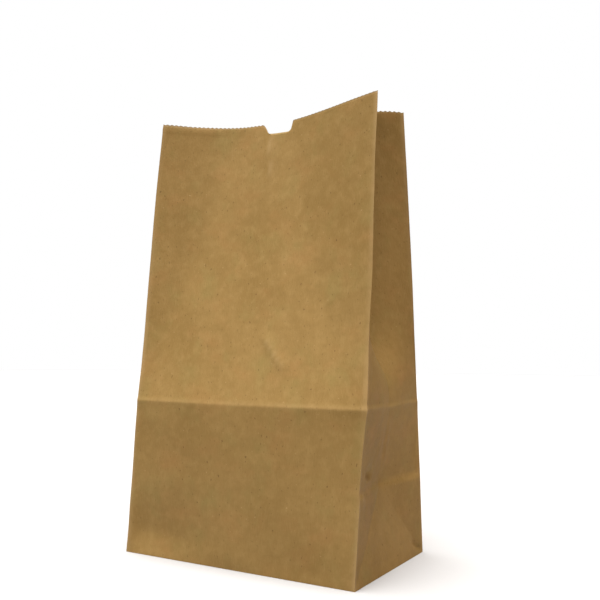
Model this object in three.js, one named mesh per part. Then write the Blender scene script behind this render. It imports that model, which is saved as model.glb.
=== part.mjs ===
// A brown paper lunch bag: one sheet of kraft paper, folded and glued into a gusseted bag with a
// square bottom, standing open. It is one closed body, a thin wall with an open top.
// Millimetres, +Z up. The origin is the centre of the base, on the surface that the bag stands on.
// The front panel faces -Y, and the sides with the folded gussets face +X and -X.
import * as THREE from 'three';

// ---- The paper, measured along the sheet ----
const PAPER = 0.1; // thickness of one layer
const PANEL = 152; // width of the front panel, and of the back
const GUSSET = 95; // width of a side panel, and so the depth of the base
const HALF_GUSSET = GUSSET / 2; // from a corner fold to the fold down a side's middle
const LENGTH = 266; // from the base's edge up to the tips of the saw-toothed mouth
const CREASE = 90; // height of the crease that is pressed all round the bag
const BASE_LAYERS = 4; // the bottom flaps lie on each other and are glued
const SEAM_LAYERS = 2; // the sheet's two ends overlap down the back

// ---- How the bag stands ----
// The middles of the front and back panels, seen from above, at three heights along the paper. The
// bag leans a little to one side up to the crease, and its two panels close in above it.
const AT_BASE = { frontX: 0, frontY: -GUSSET / 2, backX: 0, backY: GUSSET / 2 };
const AT_CREASE = { frontX: 5.5, frontY: -47.2, backX: -1.7, backY: 43.5 };
const AT_MOUTH = { frontX: 4, frontY: -27.5, backX: 3.2, backY: 11 };
// Above the crease both panels bow towards the back, and most at the mouth.
const FRONT_BOW = 15.4;
const FRONT_BOW_SKEW = 0.46; // the front's bow is deeper left of its middle
const FRONT_TURN = 2.75; // at the mouth its right corner stands this far back, its left this far forward
const BACK_BOW = 16;
const BOW_GROWTH = 1.3; // the power of the height with which a bow grows
// The fold down the middle of a side is tucked in from the line between the side's corner folds.
const CREASE_TUCK = 5;
const MOUTH_TUCK = 43;
const PUFF = 3; // how far each half of a side bows out at the mouth
const ROWS = [0, 15, 32, HALF_GUSSET, 68, CREASE, 97, 108, 122, 138, 156, 176, 197, 219, 240, 254];

// ---- The cut edge of the mouth ----
const TOOTH_DEPTH = 1;
const NOTCH_DEPTH = 7; // the thumb notch in the front panel
const STEPS_PER_CELL = 4; // the mouth is cut in steps of a quarter cell, two teeth to a cell
const NOTCH_TOP_STEPS = 9; // half the notch's width at the mouth, in steps
const NOTCH_FLOOR_STEPS = 6; // half the width of its flat floor
const NOTCH_OFFSET_STEPS = 2; // how far right of the panel's middle it was cut

const PANEL_CELLS = 28;
const GUSSET_CELLS = 9; // for each half of a side
const SEAM_CELLS = 4; // the glued seam, in the middle of the back

const KRAFT = new THREE.MeshStandardMaterial({
  name: 'kraft',
  color: new THREE.Color().setRGB(0.6, 0.46, 0.27, THREE.SRGBColorSpace),
  roughness: 0.82,
  metalness: 0,
  side: THREE.FrontSide,
});

// Where the two panels stand at a height along the paper, and how far everything is bowed there.
function stanceAt(along) {
  const low = along <= CREASE;
  const share = low ? along / CREASE : (along - CREASE) / (LENGTH - CREASE);
  const from = low ? AT_BASE : AT_CREASE;
  const to = low ? AT_CREASE : AT_MOUTH;
  const above = low ? 0 : share;
  const belowTuck = CREASE_TUCK * Math.min(along / HALF_GUSSET, 1);
  const stance = {
    frontTurn: FRONT_TURN * above,
    frontBow: FRONT_BOW * above ** BOW_GROWTH,
    backBow: BACK_BOW * above ** BOW_GROWTH,
    tuck: THREE.MathUtils.lerp(belowTuck, MOUTH_TUCK, 1 - (1 - above) ** 2),
    puff: PUFF * Math.sqrt(above),
  };
  for (const key of Object.keys(from)) stance[key] = THREE.MathUtils.lerp(from[key], to[key], share);
  return stance;
}

// Bowed paper of this width spans a shorter chord. A shallow arch is longer than its chord by 8/3 of
// the bow squared over the width.
function chordOf(width, bow) {
  return width - (8 / 3) * bow * bow / width;
}

// A point on an arched strip from one end to the other, bowed along its left-hand normal. With a
// skew, the arch is deeper in its first half.
function onArc({ from, to, bow, skew = 0 }, share) {
  const chord = new THREE.Vector2().subVectors(to, from);
  const normal = new THREE.Vector2(-chord.y, chord.x).normalize();
  const height = 4 * bow * share * (1 - share) * (1 + skew * (1 - 2 * share));
  return new THREE.Vector2().lerpVectors(from, to, share).addScaledVector(normal, height);
}

// The six strips of paper between the bag's six upright folds, anticlockwise seen from above, from
// the front left corner: the front, the right side's halves, the back and the left side's halves.
function stripsAt(along) {
  const s = stanceAt(along);
  const frontHalf = chordOf(PANEL, s.frontBow) / 2;
  const backHalf = chordOf(PANEL, s.backBow) / 2;
  const frontLeft = new THREE.Vector2(s.frontX - frontHalf, s.frontY - s.frontTurn);
  const frontRight = new THREE.Vector2(s.frontX + frontHalf, s.frontY + s.frontTurn);
  const backRight = new THREE.Vector2(s.backX + backHalf, s.backY);
  const backLeft = new THREE.Vector2(s.backX - backHalf, s.backY);
  const rightFold = onArc({ from: frontRight, to: backRight, bow: s.tuck }, 0.5);
  const leftFold = onArc({ from: backLeft, to: frontLeft, bow: s.tuck }, 0.5);
  const half = (from, to) => ({ from, to, bow: -s.puff, cells: GUSSET_CELLS });
  return [
    { from: frontLeft, to: frontRight, bow: s.frontBow, skew: FRONT_BOW_SKEW, cells: PANEL_CELLS },
    half(frontRight, rightFold),
    half(rightFold, backRight),
    { from: backRight, to: backLeft, bow: -s.backBow, cells: PANEL_CELLS },
    half(backLeft, leftFold),
    half(leftFold, frontLeft),
  ];
}

// The plan outline of the bag at a height along the paper, with so many steps to each cell.
function outlineAt(along, steps) {
  return stripsAt(along).flatMap((strip) => {
    const count = strip.cells * steps;
    return Array.from({ length: count }, (_, i) => onArc(strip, i / count));
  });
}

const CELLS = 2 * PANEL_CELLS + 4 * GUSSET_CELLS;

// How far the cut edge lies below the tips of the teeth, at a step round the mouth.
function cutBelowTips(step) {
  const fromNotch = Math.abs(step - (PANEL_CELLS * STEPS_PER_CELL) / 2 - NOTCH_OFFSET_STEPS);
  const saw = step % 2 === 0 ? 0 : TOOTH_DEPTH;
  if (fromNotch >= NOTCH_TOP_STEPS) return saw;
  const round = Math.max(fromNotch - NOTCH_FLOOR_STEPS, 0) / (NOTCH_TOP_STEPS - NOTCH_FLOOR_STEPS);
  return Math.max(NOTCH_DEPTH * Math.sqrt(1 - round * round), saw);
}

// The next ring of points up the paper. Each point climbs by what is left of its own strip's length
// once it has moved sideways, so that the paper is never stretched.
function climb(ring, below, along, belowAlong) {
  return ring.map((point, i) => {
    const rise = along(i) - belowAlong;
    const sideways = Math.hypot(point.x - below[i].x, point.y - below[i].y);
    const up = Math.sqrt(Math.max(rise * rise - sideways * sideways, 0));
    return new THREE.Vector3(point.x, point.y, below[i].z + up);
  });
}

function outerRings() {
  const rings = [outlineAt(0, 1).map((point) => new THREE.Vector3(point.x, point.y, 0))];
  for (let row = 1; row < ROWS.length; row += 1) {
    rings.push(climb(outlineAt(ROWS[row], 1), rings[row - 1], () => ROWS[row], ROWS[row - 1]));
  }
  return rings;
}

// The mouth's ring has more points than the one below it, so that ring is first filled in to match.
function mouthRing(below) {
  const filled = below.flatMap((point, cell) => {
    const next = below[(cell + 1) % CELLS];
    return Array.from({ length: STEPS_PER_CELL }, (_, i) => point.clone().lerp(next, i / STEPS_PER_CELL));
  });
  const along = (step) => LENGTH - cutBelowTips(step);
  const cut = filled.map((_, step) => outlineAt(along(step), STEPS_PER_CELL)[step]);
  return climb(cut, filled, along, ROWS.at(-1));
}

// Layers of paper at a cell's left edge: two where the seam is glued, and one elsewhere.
function layersAt(cell) {
  const middle = PANEL_CELLS + 2 * GUSSET_CELLS + PANEL_CELLS / 2;
  return Math.abs(cell - middle) <= SEAM_CELLS / 2 ? SEAM_LAYERS : 1;
}

// The inner face of the paper: every point moves in, square to the paper there.
function innerRings(rings, upward) {
  return rings.map((ring, row) => ring.map((point, i) => {
    const count = ring.length;
    const around = ring[(i + 1) % count].clone().sub(ring[(i + count - 1) % count]);
    const inward = new THREE.Vector3().crossVectors(upward(row, i), around).normalize();
    const thickness = PAPER * layersAt((i * CELLS) / count);
    return point.clone().addScaledVector(inward, thickness);
  }));
}

// A triangle mesh that grows by whole bands and caps.
class Skin {
  constructor() {
    this.points = [];
    this.faces = [];
  }

  addRing(ring) {
    const start = this.points.length;
    this.points.push(...ring);
    return ring.map((_, i) => start + i);
  }

  // The band between two rings that have the same number of points.
  addBand(lower, upper) {
    for (let i = 0; i < lower.length; i += 1) {
      const next = (i + 1) % lower.length;
      this.faces.push([lower[i], lower[next], upper[next]], [lower[i], upper[next], upper[i]]);
    }
  }

  // The band between a ring and a finer one: each cell is two fans that meet in its middle.
  addFanBand(lower, upper, steps) {
    for (let cell = 0; cell < lower.length; cell += 1) {
      const next = lower[(cell + 1) % lower.length];
      const above = (step) => upper[(cell * steps + step) % upper.length];
      const middle = steps / 2;
      for (let step = 0; step < steps; step += 1) {
        this.faces.push([step < middle ? lower[cell] : next, above(step + 1), above(step)]);
      }
      this.faces.push([lower[cell], next, above(middle)]);
    }
  }

  // A flat cap over a ring, facing down: a fan round the middle of the base.
  addCap(ring) {
    const middle = this.points.push(new THREE.Vector3(0, 0, this.points[ring[0]].z)) - 1;
    ring.forEach((corner, i) => this.faces.push([middle, ring[(i + 1) % ring.length], corner]));
  }

  flip(from) {
    for (let i = from; i < this.faces.length; i += 1) this.faces[i].reverse();
  }

  toGeometry() {
    const geometry = new THREE.BufferGeometry();
    const flat = this.points.flatMap((point) => [point.x, point.y, point.z]);
    geometry.setAttribute('position', new THREE.Float32BufferAttribute(flat, 3));
    geometry.setIndex(this.faces.flat());
    geometry.computeVertexNormals();
    return geometry;
  }
}

function paperBag() {
  const outer = outerRings();
  const mouth = mouthRing(outer.at(-1));
  const up = new THREE.Vector3(0, 0, 1);
  const slope = (row, i) => {
    const above = outer[Math.min(row + 1, outer.length - 1)][i];
    const below = outer[Math.max(row - 1, 0)][i];
    return above.clone().sub(below);
  };
  const inner = innerRings(outer, slope);
  for (const point of inner[0]) point.z = BASE_LAYERS * PAPER;
  const innerMouth = innerRings([mouth], () => up)[0];

  const skin = new Skin();
  const wall = (rings, rim) => {
    const indices = rings.map((ring) => skin.addRing(ring));
    for (let row = 1; row < indices.length; row += 1) skin.addBand(indices[row - 1], indices[row]);
    const edge = skin.addRing(rim);
    skin.addFanBand(indices.at(-1), edge, STEPS_PER_CELL);
    skin.addCap(indices[0]);
    return edge;
  };
  const outerEdge = wall(outer, mouth);
  const outerFaces = skin.faces.length;
  const innerEdge = wall(inner, innerMouth);
  skin.flip(outerFaces);
  skin.addBand(outerEdge, innerEdge);

  const bag = new THREE.Mesh(skin.toGeometry(), KRAFT);
  bag.name = 'paper_bag';
  return bag;
}

const object = new THREE.Group();
object.add(paperBag());

export default object;
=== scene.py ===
# %% [markdown]
# # A brown paper lunch bag
# A lunch bag is one sheet of kraft paper. A machine bends the sheet into a tube, glues its two
# edges together down the back, tucks in both sides, cuts the mouth with a toothed knife, and folds
# and glues the bottom. It could be modelled as five joined plates, but the folds of paper are what
# makes it look real. So it is made here as it is made in the factory: a flat blank first, then the
# scores, the cut, the folds, and last the dents that hands have left in it.

import math

import bmesh
import bpy
import numpy as np
from mathutils import Matrix, Vector, noise


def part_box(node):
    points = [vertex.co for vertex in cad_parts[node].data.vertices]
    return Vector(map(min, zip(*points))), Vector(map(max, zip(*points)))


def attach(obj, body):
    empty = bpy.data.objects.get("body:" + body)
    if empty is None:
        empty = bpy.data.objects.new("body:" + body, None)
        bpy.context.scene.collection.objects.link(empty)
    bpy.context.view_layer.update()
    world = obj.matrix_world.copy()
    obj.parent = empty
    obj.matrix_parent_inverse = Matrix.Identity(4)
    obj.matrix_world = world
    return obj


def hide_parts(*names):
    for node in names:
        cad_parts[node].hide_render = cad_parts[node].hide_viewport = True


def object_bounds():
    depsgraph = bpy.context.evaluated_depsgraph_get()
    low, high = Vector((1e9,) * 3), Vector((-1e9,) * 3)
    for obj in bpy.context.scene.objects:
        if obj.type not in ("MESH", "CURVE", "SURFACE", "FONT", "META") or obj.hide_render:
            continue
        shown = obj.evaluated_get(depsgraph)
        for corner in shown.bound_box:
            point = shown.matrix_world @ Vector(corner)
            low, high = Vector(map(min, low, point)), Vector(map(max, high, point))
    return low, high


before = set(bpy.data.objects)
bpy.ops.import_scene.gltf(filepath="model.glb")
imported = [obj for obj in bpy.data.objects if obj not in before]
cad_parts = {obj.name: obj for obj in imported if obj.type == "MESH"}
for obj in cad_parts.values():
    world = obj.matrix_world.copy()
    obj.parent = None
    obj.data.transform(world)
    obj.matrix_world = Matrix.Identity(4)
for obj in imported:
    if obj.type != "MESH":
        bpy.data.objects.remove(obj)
cad_low, cad_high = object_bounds()
bag_low, bag_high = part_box("paper_bag")
print("the bag's box", [round(v, 4) for v in (*bag_low, *bag_high)])

# %% [markdown]
# ## The sheet's sizes
# All lengths along the paper are in millimetres, as a bag maker would note them, and are turned to
# metres once, when the sheet is folded. The solid model gives the overall sizes: the base is as deep
# as the box, and the box is as wide as a panel and how far the two panels lean apart at the crease.

# %% Sizes of the sheet
MM = 0.001
FRONT_LEAN = 5.5  # at the crease, how far the front's middle is to the right of the base's
BACK_LEAN = -1.7  # and how far the back's is
SIDE = (bag_high.y - bag_low.y) / MM
HALF = SIDE / 2
PANEL = (bag_high.x - bag_low.x) / MM - (FRONT_LEAN - BACK_LEAN)
SLANT = 1.2  # the paper is this much longer than the bag is high, because its walls slant
LENGTH = bag_high.z / MM + SLANT
CREASE_SHARE = 0.34
CREASE = CREASE_SHARE * LENGTH
PAPER = 0.1
PAST_MIDDLE = 20  # how far the front's and the back's flaps reach past the base's middle
FLAP = HALF + PAST_MIDDLE
print("panel", round(PANEL, 1), "side", round(SIDE, 1), "length", round(LENGTH, 1))

# %% [markdown]
# ## The flat blank
# Seen flat, the blank runs across from the middle of the back, round the left side, the front and
# the right side, to the middle of the back again, and a little further where its ends lap and are
# glued. Up the sheet it runs from the ends of the bottom flaps to the mouth. A grid is the natural
# start. Its lines are then slid along the sheet: one line lies on every fold, and lines are closer
# where the paper bends sharply. The mouth is cut by teeth of two steps each, so every line across is
# a whole number of steps from the last.

# %% The upright folds, and the lines up the blank
STEPS_ACROSS_PANEL = 112
STEPS_ACROSS_HALF = 35
STEP = PANEL / STEPS_ACROSS_PANEL
HALF_STEP = HALF / STEPS_ACROSS_HALF
LAP_STEPS = 8
NEAR_FOLD_STEPS = 4

STRIPS = (
    ("back, far half", STEPS_ACROSS_PANEL // 2),
    ("left, rear half", STEPS_ACROSS_HALF),
    ("left, front half", STEPS_ACROSS_HALF),
    ("front", STEPS_ACROSS_PANEL),
    ("right, front half", STEPS_ACROSS_HALF),
    ("right, rear half", STEPS_ACROSS_HALF),
    ("back, near half", STEPS_ACROSS_PANEL // 2),
)
fold_steps = [0]
for _, steps in STRIPS:
    fold_steps.append(fold_steps[-1] + steps)
ROUND_STEPS = fold_steps[-1]


def across_at(step):
    """How far across the blank a step lies. Steps on the sides have a length of their own."""
    if step < 0:
        return step * STEP
    place = 0.0
    for (name, steps), start in zip(STRIPS, fold_steps):
        inside = min(max(step - start, 0), steps)
        place += inside * (STEP if name.startswith(("back", "front")) else HALF_STEP)
    return place + max(step - ROUND_STEPS, 0) * STEP


def line_steps():
    """The steps that have a line up the whole blank: all of them near a fold, else every other."""
    lines = set(range(-LAP_STEPS, 1, 2)) | set(range(ROUND_STEPS, ROUND_STEPS + LAP_STEPS + 1, 2))
    for (_, steps), start in zip(STRIPS, fold_steps):
        near = set(range(NEAR_FOLD_STEPS)) | set(range(steps - NEAR_FOLD_STEPS, steps + 1))
        lines |= {start + step for step in near | set(range(0, steps, 2))}
    return sorted(lines)


FOLDS = [across_at(step) for step in fold_steps]
columns = line_steps()
print(len(columns), "lines up the blank, which is", round(FOLDS[-1], 1), "mm round")


# %% The lines across the blank
def spread(start, end, about):
    """Evenly spaced heights from start up to, but not with, end."""
    count = max(round((end - start) / about), 1)
    return [start + (end - start) * i / count for i in range(count)]


rows = []
for start, end, spacing in (
    (-FLAP, 0, 6),
    (0, HALF - 5, 2.2),
    (HALF - 5, HALF + 5, 1.0),
    (HALF + 5, CREASE - 7, 1.9),
    (CREASE - 7, CREASE + 6, 0.65),
    (CREASE + 6, LENGTH - 12, 2.1),
    (LENGTH - 12, LENGTH, 1.7),
):
    rows += spread(start, end, spacing)
rows.append(LENGTH)
print(len(rows), "lines across the blank")


# %% Lay out the blank
def lay_out_blank():
    """A flat grid whose lines are slid to the chosen places."""
    bm = bmesh.new()
    bmesh.ops.create_grid(bm, x_segments=len(columns) - 1, y_segments=len(rows) - 1, size=1)
    order = sorted(bm.verts, key=lambda vert: (round(vert.co.y, 5), vert.co.x))
    for i, vert in enumerate(order):
        row, column = divmod(i, len(columns))
        vert.co = (across_at(columns[column]), rows[row], 0)
    return bm


sheet = lay_out_blank()
print("blank:", len(sheet.faces), "faces")


# %% [markdown]
# ## Scoring the slanting folds
# The upright and level folds already lie on grid lines. The slanting ones don't: from each bottom
# corner a fold climbs the side at 45 degrees to the side's middle, and another runs down the bottom
# flap of the front or the back. `bisect_plane` cuts a line through just the faces it is given, as a
# scoring wheel would.

# %% Score the folds that slant
ON_LINE = 0.02  # a point that is nearer than this counts as on the line


def score(bm, low, high, corner, direction):
    """Cuts a slanting line through the faces between two corners of a rectangle on the blank."""

    def inside(face):
        middle = face.calc_center_median()
        return low[0] < middle.x < high[0] and low[1] < middle.y < high[1]

    faces = [face for face in bm.faces if inside(face)]
    edges = {edge for face in faces for edge in face.edges}
    verts = {vert for face in faces for vert in face.verts}
    bmesh.ops.bisect_plane(
        bm,
        geom=[*verts, *edges, *faces],
        dist=ON_LINE,
        plane_co=(*corner, 0),
        plane_no=(-direction[1], direction[0], 0),
    )


back_left, _, front_left, front_right, _, back_right = FOLDS[1:-1]
CORNERS = (back_left, front_left, front_right, back_right)
END = FOLDS[-1]
for corner, toward in zip(CORNERS, (1, -1, 1, -1)):
    middle_fold = corner + toward * HALF
    low, high = sorted((corner, middle_fold))
    score(sheet, (low, 0), (high, HALF), (corner, 0), (toward, 1))
    low, high = sorted((corner, corner - toward * FLAP))
    score(sheet, (low, -FLAP), (high, 0), (corner, 0), (-toward, -1))
print("scored:", len(sheet.faces), "faces")

# %% [markdown]
# ## Cutting the mouth
# A toothed knife cuts the tube to length, so the mouth is a zigzag all the way round, and a second
# knife has taken a thumb notch out of the front panel. Right of the notch the teeth are blunt. The top
# edges that are two steps long are halved with `subdivide_edges`, and then every other point is pulled
# down by the depth of a tooth. The notch pulls down the rows below it as well, less and less, so that
# no face is turned over.

# %% Cut teeth and the thumb notch
TOOTH_DEPTH = 0.55
NOTCH_DEPTH = 7.0
NOTCH_OFF_MIDDLE = 1.5
NOTCH_MIDDLE = fold_steps[3] + STEPS_ACROSS_PANEL / 2 + NOTCH_OFF_MIDDLE
NOTCH_FLOOR_STEPS = 5
NOTCH_LEFT_STEPS = 3.5
NOTCH_RIGHT_STEPS = 2.5
BLUNT_TEETH = 0.4
CUT_REACH = 24  # how far below the edge the notch still moves the rows


def notch_depth(step):
    """How deep the notch is at a step: a flat floor, a slanting left wall and a rounded right one."""
    out = abs(step - NOTCH_MIDDLE) - NOTCH_FLOOR_STEPS
    if step < NOTCH_MIDDLE:
        return NOTCH_DEPTH * min(max(1 - out / NOTCH_LEFT_STEPS, 0), 1)
    return NOTCH_DEPTH * math.sqrt(max(1 - (max(out, 0) / NOTCH_RIGHT_STEPS) ** 2, 0))


def cut_mouth(bm):
    """Halves the top edges that are two steps long, and pulls the teeth and the notch down."""
    top = [edge for edge in bm.edges if all(abs(vert.co.y - LENGTH) < ON_LINE for vert in edge.verts)]
    two_steps_long = [edge for edge in top if edge.calc_length() > 1.5 * STEP]
    bmesh.ops.subdivide_edges(bm, edges=two_steps_long, cuts=1)
    places = [across_at(step) for step in range(-LAP_STEPS, ROUND_STEPS + LAP_STEPS + 1)]
    for vert in bm.verts:
        if vert.co.y < LENGTH - CUT_REACH:
            continue
        step = int(np.searchsorted(places, vert.co.x - 0.01)) - LAP_STEPS
        notch = notch_depth(step)
        share = 1 - (LENGTH - vert.co.y) / CUT_REACH
        blunt = BLUNT_TEETH if NOTCH_MIDDLE < step < fold_steps[4] else 1
        on_edge = share > 0.999
        tooth = TOOTH_DEPTH * blunt * (step % 2) if on_edge else 0
        vert.co.y -= max(notch * share, tooth)


cut_mouth(sheet)
print("cut:", len(sheet.faces), "faces")

# %% [markdown]
# ## How the bag stands
# Opened by hand and set down, the bag stands on its base and leans a little to one side. Up to the
# crease its four walls are nearly flat, though the front bulges a little. Above it the front and back
# close in on each other, both bowed towards the back, and the fold down the middle of each side is
# tucked in between them. That is described by where the six upright folds are, seen from above, at
# each height along the paper.

# %% The stance at each height
# The middles of the front and the back at three heights
AT_BASE = {"front_x": 0.0, "front_y": -HALF, "back_x": 0.0, "back_y": HALF}
AT_CREASE = {"front_x": FRONT_LEAN, "front_y": -47.2, "back_x": BACK_LEAN, "back_y": 43.5}
AT_MOUTH = {"front_x": 5.0, "front_y": -29.5, "back_x": 4.6, "back_y": 11.0}
EARLY_LEAN = 0.3  # how much of the front's closing comes early, just above the crease
FRONT_DRIFT = -1.6  # how far the front swings aside half-way between the crease and the mouth
FRONT_TURN = 3.2  # how far the front is turned at the mouth, its right corner towards the back
FRONT_BOW = 17.5  # at the mouth
BACK_BOW = 16.0
BOW_GROWTH = 1.1
CREASE_BULGE = 4.0
HALF_TUCK = 8.0  # the tucks at the height of half a side, at the crease and at the mouth
CREASE_TUCK = 3.0
MOUTH_TUCK = 43.0
TUCK_STARTS = 0.28
PUFF = 3.0  # how far each half of a side is puffed out at the mouth


def smooth(share):
    """Eases from 0 to 1."""
    share = np.clip(share, 0, 1)
    return share * share * (3 - 2 * share)


def stance(up):
    """The panels' middles, their bows and the tucks, for an array of heights along the paper."""
    low = np.clip(up / CREASE, 0, 1)
    above = np.clip((up - CREASE) / (LENGTH - CREASE), 0, 1)
    early = 1 - (1 - above) ** 4
    at = {}
    for key, base in AT_BASE.items():
        closing = above + EARLY_LEAN * (early - above) if key == "front_y" else above
        at[key] = base + (AT_CREASE[key] - base) * low + (AT_MOUTH[key] - AT_CREASE[key]) * closing
    at["front_x"] += FRONT_DRIFT * 4 * above * (1 - above)
    at["above"] = above
    at["turn"] = FRONT_TURN * above
    at["front_bow"] = FRONT_BOW * above**BOW_GROWTH
    at["back_bow"] = BACK_BOW * above**BOW_GROWTH
    at["bulge"] = CREASE_BULGE * np.where(up < CREASE, smooth(low), 1 - above)
    below = np.interp(up, [0, HALF, CREASE], [0, HALF_TUCK, CREASE_TUCK])
    grown = (1 - (1 - above) ** 2) * smooth(above / TUCK_STARTS)
    at["tuck"] = below + (MOUTH_TUCK - CREASE_TUCK) * grown
    at["puff"] = PUFF * np.sqrt(above)
    return at


at_mouth = stance(np.array([LENGTH]))
print("the stance at the mouth:", {key: round(float(value[0]), 1) for key, value in at_mouth.items()})


# %% [markdown]
# The back is an even arch between its two corner folds. The front is flat in its middle and bent at
# two wings, which start narrow at the crease and widen towards the mouth. Each side is two arches that
# meet at the tucked fold. Below the height of half a side there is no tucked fold yet: the side is
# flat between its two slanting folds. The helpers here work on whole arrays of points with numpy,
# because the sheet has tens of thousands of them.

# %% Panels and sides, seen from above
def across_and_out(start, end):
    """Unit directions along a strip and out of the bag, and the strip's straight length."""
    chord = end - start
    length = np.linalg.norm(chord, axis=1, keepdims=True)
    along = chord / length
    return along, np.stack([along[:, 1], -along[:, 0]], axis=1), length


def arch(share):
    """The back's bow: an even arch."""
    return 4 * share * (1 - share)


LEFT_WING = {"at_crease": 0.03, "growth": 0.33, "curl": 1.6}
RIGHT_WING = {"at_crease": 0.08, "growth": 0.36, "curl": 1.05}
FULL_BOW = 1.03


def wing(from_fold, above, at_crease, growth, curl):
    """How much of the front's bow a wing has reached, at a share of the width from its fold."""
    across_wing = np.clip(from_fold / (at_crease + growth * above), 0, 1)
    return 1 - (1 - across_wing) ** curl


def winged(share, above):
    """The front's bow: flat in the middle, between two wings that widen towards the mouth."""
    return FULL_BOW * wing(share, above, **LEFT_WING) * wing(1 - share, above, **RIGHT_WING)


def panel_points(start, end, depth, share):
    """A panel's points, pushed into the bag by a depth, or out of it where depth is negative."""
    along, out, length = across_and_out(start, end)
    return start + along * length * share[:, None] - out * depth[:, None], out


def side_points(start, end, tuck, puff, from_start, up):
    """A side's points: a V that is tucked in at its middle, and each half of it puffed out."""
    along, out, length = across_and_out(start, end)
    near = np.minimum(from_start, SIDE - from_start)
    depth = tuck * np.minimum(near / np.clip(up, 0.01, HALF), 1)
    turn = np.where(from_start < HALF, 1, -1) * tuck
    half = np.hypot(turn, length[:, 0] / 2)
    half_out = (along * turn[:, None] + out * length / 2) / half[:, None]
    share = near / HALF
    bulge = 4 * puff * share * (1 - share)
    line = start + along * length * (from_start / SIDE)[:, None]
    return line - out * depth[:, None] + half_out * bulge[:, None], half_out


def which_panel(across):
    """Which of the points are on the left side, the front, the right side and the back."""
    on_left = (across > back_left) & (across < front_left)
    on_front = (across >= front_left) & (across <= front_right)
    on_right = (across > front_right) & (across < back_right)
    return on_left, on_front, on_right, ~(on_left | on_front | on_right)


def half_chord(bow):
    """Half the straight width of a bowed panel: the deeper the bow, the closer its two folds."""
    return (PANEL - 8 / 3 * bow**2 / PANEL) / 2


def walls_from_above(across, up):
    """For points of the blank, where they are seen from above, and which way is out of the bag."""
    at = stance(up)
    front_half, back_half = half_chord(at["front_bow"]), half_chord(at["back_bow"])
    corner = {
        "front_left": np.stack([at["front_x"] - front_half, at["front_y"] - at["turn"]], axis=1),
        "front_right": np.stack([at["front_x"] + front_half, at["front_y"] + at["turn"]], axis=1),
        "back_right": np.stack([at["back_x"] + back_half, at["back_y"]], axis=1),
        "back_left": np.stack([at["back_x"] - back_half, at["back_y"]], axis=1),
    }
    plan, out = np.zeros((len(up), 2)), np.zeros((len(up), 2))
    on_left, on_front, on_right, on_back = which_panel(across)
    for here, start, end, low in (
        (on_left, "back_left", "front_left", back_left),
        (on_right, "front_right", "back_right", front_right),
    ):
        plan[here], out[here] = side_points(
            corner[start][here], corner[end][here], at["tuck"][here], at["puff"][here],
            across[here] - low, up[here],
        )
    share = (across[on_front] - front_left) / PANEL
    plan[on_front], out[on_front] = panel_points(
        corner["front_left"][on_front], corner["front_right"][on_front],
        at["front_bow"][on_front] * winged(share, at["above"][on_front])
        - at["bulge"][on_front] * np.sin(math.pi * share), share,
    )
    from_right = across[on_back] - back_right
    from_right = np.where(from_right < -PANEL, from_right + END, from_right)
    share = from_right / PANEL
    plan[on_back], out[on_back] = panel_points(
        corner["back_right"][on_back], corner["back_left"][on_back],
        -at["back_bow"][on_back] * arch(share), share,
    )
    return plan, out


def corner_places(up):
    """The four corner folds, seen from above, at one height along the paper, in whole mm."""
    places, _ = walls_from_above(np.array(CORNERS), np.full(len(CORNERS), up))
    return places.round().astype(int).tolist()


print("corners at the crease", corner_places(CREASE), "and at the mouth", corner_places(LENGTH))


# %% [markdown]
# Paper bends but doesn't stretch. So each point's height is found by walking up the sheet from the
# base in small steps: what is left of a step once the paper has moved sideways is how far it climbs.

# %% Climb from the base
CLIMB_STEPS = 80


def climb(across, up):
    """The height of each point above the base."""
    height = np.zeros(len(up))
    before, _ = walls_from_above(across, np.zeros(len(up)))
    for i in range(1, CLIMB_STEPS + 1):
        place, _ = walls_from_above(across, up * i / CLIMB_STEPS)
        sideways = np.linalg.norm(place - before, axis=1)
        height += np.sqrt(np.maximum((up / CLIMB_STEPS) ** 2 - sideways**2, 0))
        before = place
    return height


top_of_front = climb(np.array([(front_left + front_right) / 2]), np.array([LENGTH]))[0]
print("the middle of the front ends", round(float(top_of_front), 1), "mm above the base")


# %% [markdown]
# ## The bottom
# The bottom is folded like a parcel's end. The two side flaps turn in first. The front and back flaps
# follow, and at their ends a triangle of each is folded back along the slanting fold and lies
# between. The back flap is glued on last, so it is the lowest. Each layer lies a little above the one
# outside it.

# %% Fold the bottom flaps
LAYER = 0.11  # from one layer of paper to the next
BACK_FLAP, FRONT_FLAP, TRIANGLE, SIDE_FLAP = (LAYER * (i + 0.5) for i in range(4))
print("the side flaps lie", round(SIDE_FLAP, 3), "mm above the floor")


def bottom_points(across, up):
    """Where points of the four bottom flaps lie once they are folded under the bag."""
    depth = -up
    x, y, z = np.zeros(len(up)), np.zeros(len(up)), np.full(len(up), SIDE_FLAP)
    wide = PANEL / 2
    on_left, on_front, on_right, on_back = which_panel(across)
    x[on_left], y[on_left] = depth[on_left] - wide, HALF - (across - back_left)[on_left]
    x[on_right], y[on_right] = wide - depth[on_right], (across - front_right)[on_right] - HALF
    from_right = np.where(across < back_left + 1, across + END, across) - back_right
    for here, from_start, facing, layer in (
        (on_front, across - front_left, 1, FRONT_FLAP),
        (on_back, from_right, -1, BACK_FLAP),
    ):
        start, end, d = from_start[here], PANEL - from_start[here], depth[here]
        near = np.minimum(start, end)
        folded_back = near < d - ON_LINE / 2
        side = np.where(start < end, -1, 1)
        x[here] = facing * np.where(folded_back, side * (wide - d), start - wide)
        y[here] = facing * (np.where(folded_back, near, d) - HALF)
        z[here] = np.where(folded_back, TRIANGLE, layer)
    return x, y, z


# %% [markdown]
# ## What hands have done to it
# A bag that has been folded flat, stacked, opened and set down keeps the marks. They are given here
# as small moves in or out of the paper, in millimetres: a ridge along a line, a valley, a dent. One
# helper makes a ridge between two places on the blank, and every mark is a call of it. The sheet as a
# whole is also a little uneven, which soft noise gives.

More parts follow.
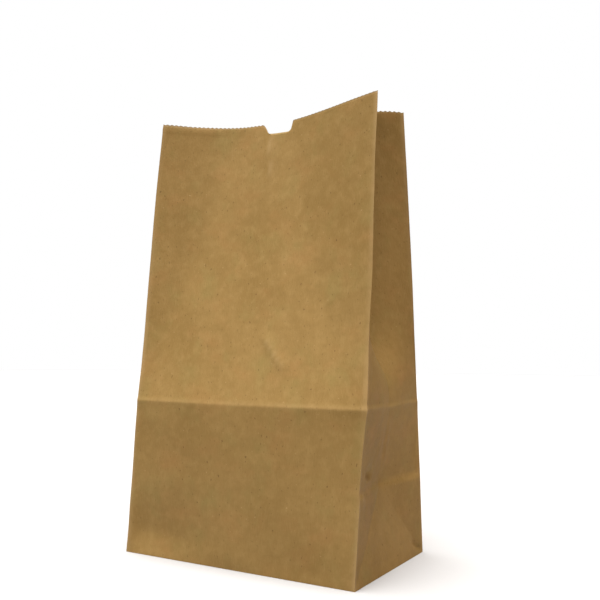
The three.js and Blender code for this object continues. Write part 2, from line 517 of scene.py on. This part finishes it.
# %% Ridges, dents and unevenness
END_FADE = 3
END_HEIGHT = 0.35
marks = []


def ridge(start, end, width, height, bend=0.0):
    """Notes a ridge (or, where height is negative, a valley) between two places on the blank."""
    marks.append((Vector(start), Vector(end), width, height, bend))


def mark_relief(across, up):
    """How far all the noted marks push the paper out at each point."""
    relief = np.zeros(len(up))
    for start, end, width, height, bend in marks:
        way = end - start
        length = way.length
        way.normalize()
        dx, dy = across - start.x, up - start.y
        along = (dx * way.x + dy * way.y) / length
        aside = dx * -way.y + dy * way.x - bend * 4 * along * (1 - along)
        fade = smooth(np.minimum(along, 1 - along) * END_FADE + END_HEIGHT)
        relief += height * np.exp(-((aside / width) ** 2)) * fade
    return relief


def unevenness(across, up, size, seed):
    """Soft noise over the blank, from about -1 to 1, with waves of a given size."""
    return np.array(
        [noise.noise((x / size, y / size, seed)) for x, y in zip(across, up)]
    )


# %% [markdown]
# The front panel has two wrinkles, one above the crease and one under the notch, and a low ridge
# along its edge from the left corner. The right side has two upright ridges in its middle, a short one
# by its front corner, and two dents, one beside the upright ridges and one in its bottom rear corner.
# The crease, the front's dented bottom left corner and the right side's step have shapes of their
# own, so each has a helper.

# %% The marks on each panel
def on_panel(share, up):
    """A place on the front panel, as a share of its width and a height."""
    return (front_left + share * PANEL, up)


def on_side(share, up):
    """A place on the right side, as a share of its width from the front corner and a height."""
    return (front_right + share * SIDE, up)


ridge(on_panel(0.565, 132), on_panel(0.675, 111), 2.0, 1.1)
ridge(on_panel(0.47, 262), on_panel(0.51, 226), 1.7, 1.1)
ridge(on_panel(-0.02, LENGTH - 4), on_panel(0.26, LENGTH - 3.4), 1.1, 0.45)
ridge(on_side(0.5, 52), on_side(0.5, 82), 2.4, 0.6, -2.5)
ridge(on_side(0.3, 56), on_side(0.44, 72), 2.0, 0.5, 1.5)
ridge(on_side(0.14, 57), on_side(0.27, 55), 2.0, -2.4)
ridge(on_side(0.02, 47), on_side(0.12, 41), 2.0, 1.0)
ridge(on_side(0.98, 1), on_side(0.86, 9), 1.4, -1.6)
print(len(marks), "marks")

# %% The crease, the dent and the step
CREASE_ABOVE = 2.0  # how far the crease's ridge reaches above and below its line
CREASE_BELOW = 3.5
CREASE_ON_SIDES = 0.55
CREASE_AT_MIDDLE = 0.08
CREASE_GAIN = 0.28  # from the front's middle to its corners
CREASE_GAIN_REACH = 0.45
DENT_DEPTH = 3.3
DENT_START = 9  # the dent is full this far from the corner's fold, and gone at its end
DENT_END = 90
DENT_HEIGHT = 12  # it is deepest here, and fades out above
DENT_FADE = 34
SIDE_STEP = 1.8
STEP_AT_FRONT = 0.3  # how much of the step there is at the side's front corner
STEP_BELOW = 3
STEP_RISE = 5
STEP_TOP = 2
CREASE_WAVES = (0.13, 14, 3.0)  # height, size and seed
WAVES = ((0.7, 46, 0.5), (0.25, 15, 4.5), (0.06, 5, 9.5))  # height, size and seed
FOOT = 6  # nothing is pushed in or out at the base, and everything fully this far above it
SEAM_FLAT = 9
SEAM_FADE = 14


def crease_relief(across, up):
    """The pressed crease: the paper stands out at the line, and falls back quickly above it."""
    over = up - CREASE
    above_line = (over >= 0) * np.exp(-((over / CREASE_ABOVE) ** 2))
    below_line = (over < 0) * np.exp(-np.abs(over) / CREASE_BELOW)
    from_middle = np.abs((across - front_left) / PANEL - 0.5)
    on_front = CREASE_AT_MIDDLE + CREASE_GAIN * smooth(from_middle / CREASE_GAIN_REACH)
    strength = np.where(from_middle < 0.5, on_front, CREASE_ON_SIDES)
    height, size, seed = CREASE_WAVES
    strength += height * unevenness(across, up * 0, size, seed)
    return strength * (above_line + below_line)


def corner_dent(across, up):
    """The front's bottom left corner has been pushed in just above the base."""
    from_fold = across - front_left
    near = smooth(from_fold / DENT_START) * (1 - smooth(from_fold / DENT_END))
    rise = np.clip(up / DENT_HEIGHT, 0, 1) * (1 - smooth((up - DENT_HEIGHT) / DENT_FADE))
    return -DENT_DEPTH * near * rise * (across >= front_left) * (across <= front_right)


def half_way_step(across, up):
    """The right side steps in at the height of half a side, and comes out again by the crease."""
    share = np.clip((across - front_right) / SIDE, 0, 1)
    into = smooth((up - HALF + STEP_BELOW) / STEP_RISE)
    out_again = smooth((up - HALF - STEP_TOP) / (CREASE - HALF - 2 * STEP_TOP))
    depth = SIDE_STEP * (STEP_AT_FRONT + (1 - STEP_AT_FRONT) * share)
    return -depth * (into * (1 - out_again)) * (across > front_right) * (across < back_right)


def relief(across, up):
    """How far the paper is pushed out in all. Its two ends stay flat where they are glued."""
    total = mark_relief(across, up) + crease_relief(across, up)
    total += half_way_step(across, up)
    for height, size, seed in WAVES:
        total += height * unevenness(across, up, size, seed)
    from_seam = np.minimum(np.abs(across), np.abs(END - across))
    near_seam = smooth((from_seam - SEAM_FLAT) / SEAM_FADE)
    return total * smooth(up / FOOT) * near_seam + corner_dent(across, up)


at_notch = relief(np.full(3, across_at(NOTCH_MIDDLE)), np.array([CREASE - 20, CREASE, CREASE + 20]))
print("pushed out below, at and above the crease:", at_notch.round(2).tolist(), "mm")

# %% [markdown]
# ## Folding
# The folds' edges are marked sharp while the sheet is still flat, because that is when a fold is
# easily found: upright, level or at 45 degrees. Then every point is moved to its place on the bag. Two
# things are painted on the points at the same time, for the material to use: how much paler the paper
# is there, partly for rub along the folds and partly as a painted highlight along the folds, the
# crease and the ridges of the marks, and how near it is to the cut edge of the mouth.

# %% Fold the sheet
# The folds are painted paler, partly for rub and partly as a painted highlight; the crease line is
# painted paler as a painted highlight
TUCK_RUB_AND_HIGHLIGHT_STARTS = CREASE + 60  # the tucked folds are painted paler (rub and painted highlight) only above this
FOLD_RUB_AND_HIGHLIGHT_WIDTH = 1.7
PATCH = (22, 60)  # how wide and high a patch of the paler folds and crease is
PATCH_SEED = 7.5
CREASE_HIGHLIGHT = 0.3
CREASE_HIGHLIGHT_REACH = 1.4
# The ridge tops of the marks are painted paler: a painted highlight where they catch the light
MARK_HIGHLIGHT = 0.7
MARK_HIGHLIGHT_STARTS = 0.6
CUT_EDGE_REACH = 1.1


def rub_and_highlight_at(across, up):
    """How much paler a place is painted, in patches: rub and painted highlight along the folds,
    painted highlight along the crease.
    """
    folds = CORNERS if up < TUCK_RUB_AND_HIGHLIGHT_STARTS else FOLDS[1:-1]
    near_fold = min(abs(across - fold) for fold in folds)
    patchy = 0.5 + 0.5 * noise.noise((across / PATCH[0], up / PATCH[1], PATCH_SEED))
    at_fold = math.exp(-((near_fold / FOLD_RUB_AND_HIGHLIGHT_WIDTH) ** 2))
    at_crease = CREASE_HIGHLIGHT * math.exp(-(((up - CREASE - 1) / CREASE_HIGHLIGHT_REACH) ** 2))
    return patchy * (at_fold + at_crease)


def fold(bm):
    """Moves every point of the flat sheet to its place on the bag."""
    flat = bm.loops.layers.uv.new("blank")
    rub_and_highlight = bm.verts.layers.float.new("rub_and_highlight")
    cut = bm.verts.layers.float.new("cut")
    verts = list(bm.verts)
    across = np.array([vert.co.x for vert in verts])
    up = np.array([vert.co.y for vert in verts])
    wall = up >= 0
    x, y, z = bottom_points(across, np.minimum(up, 0))
    plan, out = walls_from_above(across[wall], up[wall])
    lap = LAYER * (smooth((across[wall] - END) / 2 + 1) - smooth(1 - across[wall] / 2)) / 2
    push = relief(across[wall], up[wall]) + lap
    x[wall] = plan[:, 0] + out[:, 0] * push
    y[wall] = plan[:, 1] + out[:, 1] * push
    z[wall] = climb(across[wall], up[wall]) + LAYER
    for face in bm.faces:
        for loop in face.loops:
            loop[flat].uv = (loop.vert.co.x * MM, loop.vert.co.y * MM)
    # The ridge tops of the marks are painted paler too: a painted highlight where they catch the light
    ridge_highlights = MARK_HIGHLIGHT * np.clip(mark_relief(across, up) - MARK_HIGHLIGHT_STARTS, 0, 1)
    for vert, vert_across, vert_up, ridge_highlight, point in zip(verts, across, up, ridge_highlights, zip(x, y, z)):
        vert[rub_and_highlight] = rub_and_highlight_at(vert_across, vert_up) + ridge_highlight
        vert[cut] = math.exp(-(((LENGTH - vert_up) / CUT_EDGE_REACH) ** 2))
        vert.co = Vector(point) * MM


def both_near(first, second, place):
    """Whether both ends of an edge lie on a fold."""
    return abs(first - place) < 0.05 and abs(second - place) < 0.05


def crisp(bm):
    """Marks the folds' edges sharp, so that they stay crisp under smooth shading."""
    count = 0
    for face in bm.faces:
        face.smooth = True
    for edge in bm.edges:
        a, b = (vert.co for vert in edge.verts)
        middle = (a + b) / 2
        from_corner = min(abs(middle.x - corner) for corner in CORNERS)
        has_fold = from_corner < 1 or middle.y > HALF or middle.y < 0
        upright = has_fold and any(both_near(a.x, b.x, place) for place in FOLDS[1:-1])
        level = both_near(a.y, b.y, 0)
        off_front = not front_left - 1 < middle.x < front_right + 1
        half_way = off_front and both_near(a.y, b.y, HALF)
        at_45_degrees = abs(abs(a.x - b.x) - abs(a.y - b.y)) < 0.05
        slanting = at_45_degrees and abs(from_corner - abs(middle.y)) < 0.1
        if upright or level or half_way or slanting:
            edge.smooth = False
            count += 1
    return count


print("crisp edges:", crisp(sheet))
fold(sheet)

# %% [markdown]
# ## A real thickness
# `Solidify` gives the folded sheet the thickness of paper. It is last, so that every dent and tooth
# has an inside as well. A tenth is taken off, so that folded layers never touch.

# %% Make the bag an object
CLEARANCE = 0.9
mesh = bpy.data.meshes.new("paper_bag_sheet")
bmesh.ops.recalc_face_normals(sheet, faces=sheet.faces)
sheet.to_mesh(mesh)
sheet.free()
bag = bpy.data.objects.new("paper_bag_sheet", mesh)
bpy.context.collection.objects.link(bag)
thickness = bag.modifiers.new("paper", "SOLIDIFY")
thickness.thickness = PAPER * MM * CLEARANCE
thickness.offset = 0
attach(bag, "root")
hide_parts("paper_bag")
print("sheet:", len(mesh.vertices), "points,", len(mesh.polygons), "faces")

# %% [markdown]
# ## Kraft paper
# Unbleached kraft is never one colour. Pulp settles in clouds from a few millimetres to a few
# centimetres across, some a little greener and some redder. Long fibres lie mostly along the roll, and
# flecks of bark and pale shives are scattered through it. It could be painted, but noise on the
# blank's own UV map needs no picture, and the pattern goes round the folds with the paper. The two
# attributes that were painted on the sheet make the folds paler, partly for rub and partly as a
# painted highlight, make the crease and the ridges of the marks paler as a painted highlight, and make
# the cut edge darker.

# %% Make the paper's material
BASE = (0.224, 0.14, 0.0455)
DEEP = (0.186, 0.1135, 0.0335)
PALE = (0.275, 0.18, 0.067)
OLIVE = (0.198, 0.146, 0.046)
RUST = (0.246, 0.137, 0.046)
BARK = (0.11, 0.063, 0.02)
SHIVE = (0.37, 0.26, 0.12)
# Paler colour painted on the folds for rub and as a painted highlight, and on the crease and the
# marks' ridge tops as a painted highlight
RUB_AND_HIGHLIGHT = (0.315, 0.215, 0.1)
CUT_EDGE = (0.07, 0.042, 0.014)
MATT = (0.6, 0.72)
GLOSS = 0.1
GRAIN_STRENGTH = 0.35
GRAIN_DEPTH = 0.0003

# Each layer: its colour, how fine it is across and up, its detail and roughness, which part of
# the noise it takes, and how strong it is.
COLOUR_LAYERS = (
    (OLIVE, (55, 40), 4, 0.55, (0.52, 0.72), 0.6),
    (RUST, (42, 58), 4, 0.55, (0.52, 0.72), 0.6),
    (PALE, (190, 150), 4, 0.55, (0.45, 0.85), 0.6),
    (DEEP, (150, 210), 4, 0.55, (0.5, 0.85), 0.7),
    (PALE, (1500, 260), 3, 0.55, (0.5, 0.8), 0.4),
    (DEEP, (1100, 300), 2, 0.55, (0.52, 0.85), 0.6),
    (BARK, (620, 420), 1, 0.55, (0.68, 0.77), 0.7),
    (SHIVE, (560, 700), 1, 0.4, (0.74, 0.83), 0.5),
)


def make_kraft():
    """Kraft paper: layers of noise on the blank, then the paler folds, crease and ridges (partly rub,
    partly painted highlight) and the darker cut edge.
    """
    material = bpy.data.materials.new("kraft_paper")
    material.use_nodes = True
    nodes, links = material.node_tree.nodes, material.node_tree.links
    shader = nodes["Principled BSDF"]
    flat = nodes.new("ShaderNodeUVMap")
    flat.uv_map = "blank"

    def stretched(across, up):
        """The place on the blank, scaled so that noise is this fine across and up."""
        mapping = nodes.new("ShaderNodeMapping")
        mapping.inputs["Scale"].default_value = (across, up, 1)
        links.new(flat.outputs["UV"], mapping.inputs["Vector"])
        return mapping.outputs["Vector"]

    def clouds(vector, detail, rough=0.55):
        """Noise at a place."""
        texture = nodes.new("ShaderNodeTexNoise")
        texture.inputs["Scale"].default_value = 1
        texture.inputs["Detail"].default_value = detail
        texture.inputs["Roughness"].default_value = rough
        links.new(vector, texture.inputs["Vector"])
        return texture.outputs["Fac"]

    def ramp(value, low, high, to_low=0.0, to_high=1.0):
        """Stretches the part of a value from low to high over another range."""
        step = nodes.new("ShaderNodeMapRange")
        step.inputs["From Min"].default_value = low
        step.inputs["From Max"].default_value = high
        step.inputs["To Min"].default_value = to_low
        step.inputs["To Max"].default_value = to_high
        links.new(value, step.inputs["Value"])
        return step.outputs["Result"]

    def painted(name):
        """What was painted on the sheet's points."""
        attribute = nodes.new("ShaderNodeAttribute")
        attribute.attribute_name = name
        return attribute.outputs["Fac"]

    def tint(colour, other, amount):
        """Mixes some of another colour in."""
        mix = nodes.new("ShaderNodeMix")
        mix.data_type = "RGBA"
        for socket, value in (("A_Color", colour), ("B_Color", other)):
            target = next(i for i in mix.inputs if i.identifier == socket)
            if isinstance(value, tuple):
                target.default_value = (*value, 1)
            else:
                links.new(value, target)
        links.new(amount, next(i for i in mix.inputs if i.identifier == "Factor_Float"))
        return next(o for o in mix.outputs if o.identifier == "Result_Color")

    colour = tint(DEEP, BASE, ramp(clouds(stretched(22, 18), 3), 0.3, 0.6))
    for other, fineness, detail, rough, part, strength in COLOUR_LAYERS:
        layer = clouds(stretched(*fineness), detail, rough)
        colour = tint(colour, other, ramp(layer, *part, 0, strength))
    # The folds are painted paler for rub and as a painted highlight; the crease and the marks' ridge
    # tops as a painted highlight
    colour = tint(colour, RUB_AND_HIGHLIGHT, ramp(painted("rub_and_highlight"), 0, 1, 0, 0.85))
    colour = tint(colour, CUT_EDGE, ramp(painted("cut"), 0.2, 1, 0, 0.9))
    links.new(colour, shader.inputs["Base Color"])
    links.new(ramp(clouds(stretched(190, 150), 4), 0.3, 0.7, *MATT), shader.inputs["Roughness"])
    shader.inputs["Specular IOR Level"].default_value = GLOSS

    bump = nodes.new("ShaderNodeBump")
    bump.inputs["Strength"].default_value = GRAIN_STRENGTH
    bump.inputs["Distance"].default_value = GRAIN_DEPTH
    links.new(clouds(stretched(900, 420), 5), bump.inputs["Height"])
    links.new(bump.outputs["Normal"], shader.inputs["Normal"])
    return material


mesh.materials.append(make_kraft())
print("kraft:", len(mesh.materials[0].node_tree.nodes), "nodes")

# %% [markdown]
# ## Floor, light and camera
# Soft light shows paper best: a hard lamp would turn every dent into a black shadow. The main lamp is
# a broad sun that stands almost overhead, so its light grazes the walls and shows how they bend. It
# makes the grey floor look white, and the floor throws light back at the bottom of the bag. Two weaker
# suns from the front and a warm one from the right fill in what the first leaves dark.

# %% Floor
FLOOR_RADIUS = 6
FLOOR_GREY = 0.4
FLOOR_ROUGHNESS = 0.9


def plain(name, grey, roughness):
    """A material of one grey."""
    material = bpy.data.materials.new(name)
    material.use_nodes = True
    shader = material.node_tree.nodes["Principled BSDF"]
    shader.inputs["Base Color"].default_value = (grey, grey, grey, 1)
    shader.inputs["Roughness"].default_value = roughness
    return material


floor_shape = bmesh.new()
bmesh.ops.create_circle(floor_shape, cap_ends=True, segments=96, radius=FLOOR_RADIUS)
floor_mesh = bpy.data.meshes.new("floor")
floor_shape.to_mesh(floor_mesh)
floor_shape.free()
floor = bpy.data.objects.new("floor", floor_mesh)
bpy.context.collection.objects.link(floor)
floor_mesh.materials.append(plain("pale_floor", FLOOR_GREY, FLOOR_ROUGHNESS))
print("floor:", FLOOR_RADIUS, "m in radius")

# %% [markdown]
# The world does two things. It fills the shadows with a dim, warm light, as a room's walls do, but
# what the camera sees behind the bag should be plain white. The Light Path node tells the two apart.

# %% World and lamps
world = bpy.data.worlds.new("studio")
bpy.context.scene.world = world
world.use_nodes = True
background = world.node_tree.nodes["Background"]
background.inputs["Strength"].default_value = 1.0
bpy.context.scene.view_settings.view_transform = "Standard"

bag_middle = (cad_low + cad_high) / 2


def away(azimuth, elevation):
    """A direction from the bag; azimuth 0 is towards -Y, and 90 towards +X."""
    a, e = math.radians(azimuth), math.radians(elevation)
    return Vector((math.sin(a) * math.cos(e), -math.cos(a) * math.cos(e), math.sin(e)))


def fill_light(colour, strength):
    """Lights everything softly with a warm colour, while the camera sees plain white."""
    nodes, links = world.node_tree.nodes, world.node_tree.links
    seen = nodes.new("ShaderNodeLightPath")
    paint = nodes.new("ShaderNodeValToRGB")
    paint.color_ramp.elements[0].color = (*(part * strength for part in colour), 1)
    paint.color_ramp.elements[1].color = (1, 1, 1, 1)
    links.new(seen.outputs["Is Camera Ray"], paint.inputs["Fac"])
    links.new(paint.outputs["Color"], background.inputs["Color"])


def far_lamp(name, azimuth, elevation, strength, colour):
    """A sun that shines at the bag from a direction."""
    sun = bpy.data.lights.new(name, "SUN")
    sun.angle = math.radians(SUN_WIDTH)
    sun.energy = strength
    sun.color = colour
    holder = bpy.data.objects.new(name, sun)
    bpy.context.collection.objects.link(holder)
    holder.rotation_mode = "QUATERNION"
    holder.rotation_quaternion = (-away(azimuth, elevation)).to_track_quat("-Z", "Y")


SUN_WIDTH = 40
WHITE = (1, 1, 1)
WARM = (1.0, 0.64, 0.34)
ROOM = (1.0, 0.6, 0.3)
fill_light(ROOM, 0.22)
far_lamp("overhead", -20, 85, 7.5, WHITE)
far_lamp("right front", 25, 60, 1.25, WHITE)
far_lamp("fill", -20, 10, 0.85, WHITE)
far_lamp("right fill", 80, 8, 0.6, WARM)
print("lamps:", [light.name for light in bpy.data.lights])

# %% [markdown]
# The camera stands half a metre away, right of the front and a little below the bag's middle. It looks
# slightly upwards and is rolled by half a degree, as one held in a hand is.

# %% Camera
LENS = 45.54
STANDS_AT = (31.29, -2.0)
DISTANCE = 0.4697
LOOKS_FROM = (29.88, -4.49)
ROLL = 0.61
camera_lens = bpy.data.cameras.new("camera")
camera_lens.lens = LENS
camera = bpy.data.objects.new("camera", camera_lens)
bpy.context.collection.objects.link(camera)
camera.location = bag_middle + away(*STANDS_AT) * DISTANCE
upright_turn = (-away(*LOOKS_FROM)).to_track_quat("-Z", "Y").to_matrix()
rolled_turn = upright_turn @ Matrix.Rotation(math.radians(ROLL), 3, "Z")
camera.rotation_mode = "QUATERNION"
camera.rotation_quaternion = rolled_turn.to_quaternion()
camera_lens.clip_start = 0.01
bpy.context.scene.camera = camera
print("camera at", [round(part, 3) for part in camera.location])
